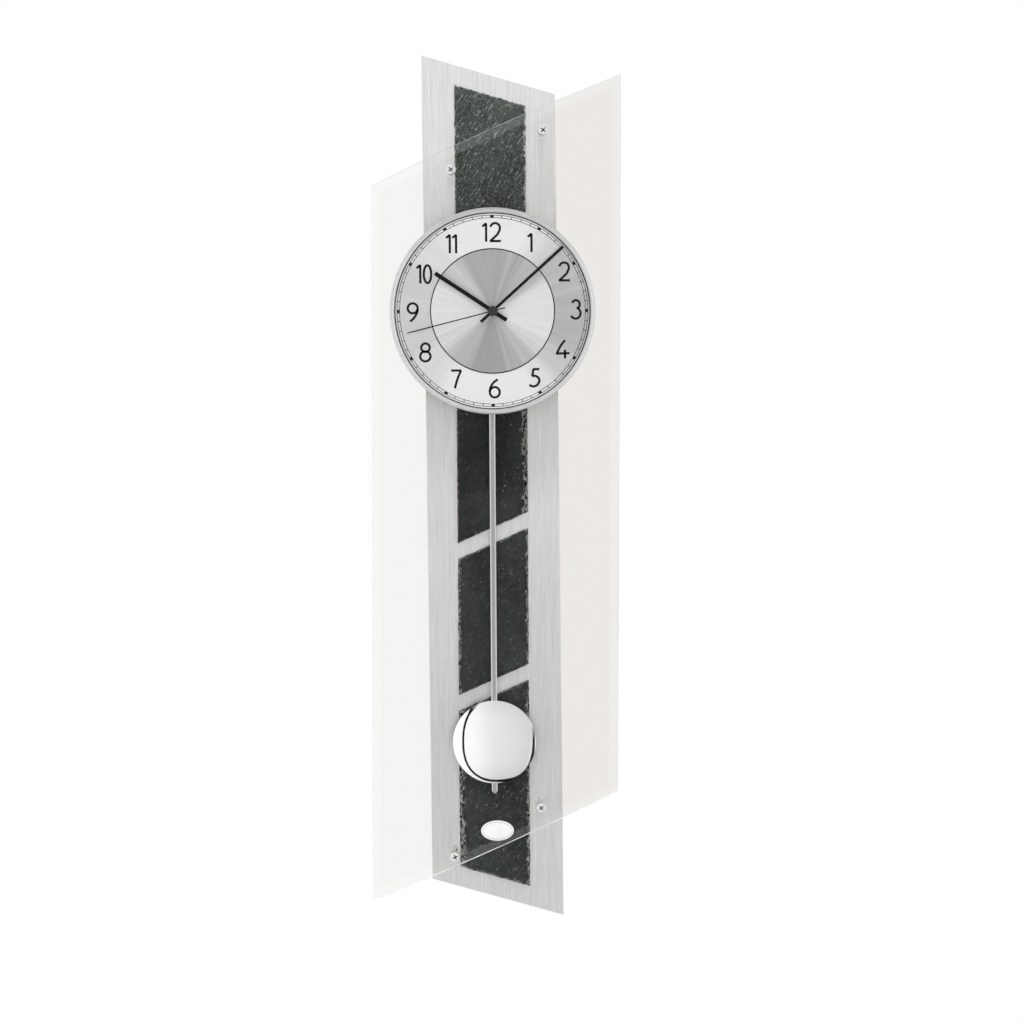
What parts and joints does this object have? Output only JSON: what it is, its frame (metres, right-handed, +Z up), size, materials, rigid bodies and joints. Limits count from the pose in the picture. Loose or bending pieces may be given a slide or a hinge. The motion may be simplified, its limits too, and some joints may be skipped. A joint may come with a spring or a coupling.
{
  "type": "pendulum wall clock",
  "caption": "Battery wall clock with a slate-faced metal panel, a slanted bevelled glass sheet, a round metal dial and a swinging pendulum.",
  "frame": {"origin": "centre of the keyhole in the hanger plate, on the wall plane", "axes": "+Z up, +X to the viewer's right, +Y into the wall; the dial faces -Y"},
  "size_m": [0.2032, 0.0784, 0.704],
  "materials": {
    "panel": "vertically brushed sheet",
    "board": "black stained fibreboard",
    "slate": "cleft natural slate with chipped edges",
    "steel": "zinc plated",
    "rubber": "matt",
    "glass": "clear bevelled",
    "screw": "polished nickel",
    "bush": "natural nylon",
    "badge": "white enamel look",
    "dial_pan": "grey lacquer",
    "bezel": "circularly brushed",
    "dial_ring": "satin silver",
    "dial_center": "spun",
    "brass": "turned",
    "case_plastic": "moulded black",
    "gear_white": "moulded acetal",
    "gear_black": "moulded acetal",
    "magnet": "sintered, nickel plated",
    "copper": "enamelled wire",
    "pcb": "solder mask",
    "hand_black": "satin black",
    "battery_wrap": "plain printed sleeve",
    "rod": "brushed along its length",
    "bob": "mirror polished"
  },
  "bodies": {
    "clock": {"hanger_plate": "steel", "hanger_screws": "steel", "wall_bumpers": "rubber", "wall_board": "board", "back_panel": "panel", "slate_top": "slate", "slate_upper": "slate", "slate_middle": "slate", "slate_lower": "slate", "standoffs": "screw", "glass_bushes": "bush", "glass_washers": "bush", "glass_screws": "screw", "front_glass": "glass", "oval_badge": "badge", "dial_case": "dial_pan", "bezel_ring": "bezel", "chapter_ring": "dial_ring", "center_disc": "dial_center", "fixing_nut": "brass", "fixing_washer": "brass", "rubber_washer": "rubber", "movement_case": "case_plastic", "movement_cover": "case_plastic", "stator": "steel", "coil_bobbin": "gear_black", "coil_winding": "copper", "circuit_board": "pcb", "control_chip": "gear_black", "quartz_crystal": "screw", "drive_coil": "copper", "drive_core": "steel", "battery": "battery_wrap", "contact_plus": "steel", "contact_minus": "steel", "pivot_pin": "steel", "pivot_clip": "gear_black"},
    "minute_work": {"cannon_pinion": "gear_black", "minute_hand": "hand_black"},
    "motion_work": {"motion_wheel": "gear_white", "setting_knob": "gear_black"},
    "hour_work": {"hour_wheel": "gear_white", "hour_hand": "hand_black"},
    "second_work": {"second_wheel": "gear_black", "second_hand": "hand_black", "hand_cap": "hand_black"},
    "intermediate_work": {"intermediate_wheel": "gear_white"},
    "rotor_work": {"rotor_pinion": "gear_white", "rotor_magnet": "magnet"},
    "third_work": {"third_wheel": "gear_white"},
    "center_work": {"center_wheel": "gear_white"},
    "pendulum": {"pendulum_hanger": "gear_black", "drive_magnet": "magnet", "pendulum_hook": "steel", "pendulum_rod": "rod", "bob_front": "bob", "bob_back": "steel", "bob_clip": "steel"}
  },
  "joints": [
    {"name": "pendulum_swing", "type": "hinge", "parent": "clock", "child": "pendulum", "pos_m": [0, 0, -0.096], "axis": [0, 1, 0], "range_deg": [-6, 6]},
    {"name": "minute_turn", "type": "hinge", "parent": "clock", "child": "minute_work", "pos_m": [0, 0, -0.15], "axis": [0, 1, 0], "continuous": true},
    {"name": "motion_turn", "type": "hinge", "parent": "clock", "child": "motion_work", "pos_m": [0.01391, 0, -0.14627], "axis": [0, 1, 0], "continuous": true},
    {"name": "hour_turn", "type": "hinge", "parent": "clock", "child": "hour_work", "pos_m": [0, 0, -0.15], "axis": [0, 1, 0], "continuous": true},
    {"name": "second_turn", "type": "hinge", "parent": "clock", "child": "second_work", "pos_m": [0, 0, -0.15], "axis": [0, 1, 0], "continuous": true},
    {"name": "intermediate_turn", "type": "hinge", "parent": "clock", "child": "intermediate_work", "pos_m": [0, 0, -0.136], "axis": [0, 1, 0], "continuous": true},
    {"name": "rotor_turn", "type": "hinge", "parent": "clock", "child": "rotor_work", "pos_m": [-0.0045, 0, -0.12821], "axis": [0, 1, 0], "continuous": true},
    {"name": "third_turn", "type": "hinge", "parent": "clock", "child": "third_work", "pos_m": [-0.0136, 0, -0.15], "axis": [0, 1, 0], "continuous": true},
    {"name": "center_turn", "type": "hinge", "parent": "clock", "child": "center_work", "pos_m": [0, 0, -0.15], "axis": [0, 1, 0], "continuous": true}
  ],
  "couplings": [
    {"joint": "motion_turn", "follows": "minute_turn", "ratio": -0.33333},
    {"joint": "hour_turn", "follows": "minute_turn", "ratio": 0.083333},
    {"joint": "intermediate_turn", "follows": "second_turn", "ratio": -6},
    {"joint": "rotor_turn", "follows": "second_turn", "ratio": 30},
    {"joint": "third_turn", "follows": "second_turn", "ratio": -0.13333},
    {"joint": "center_turn", "follows": "second_turn", "ratio": 0.016667}
  ]
}
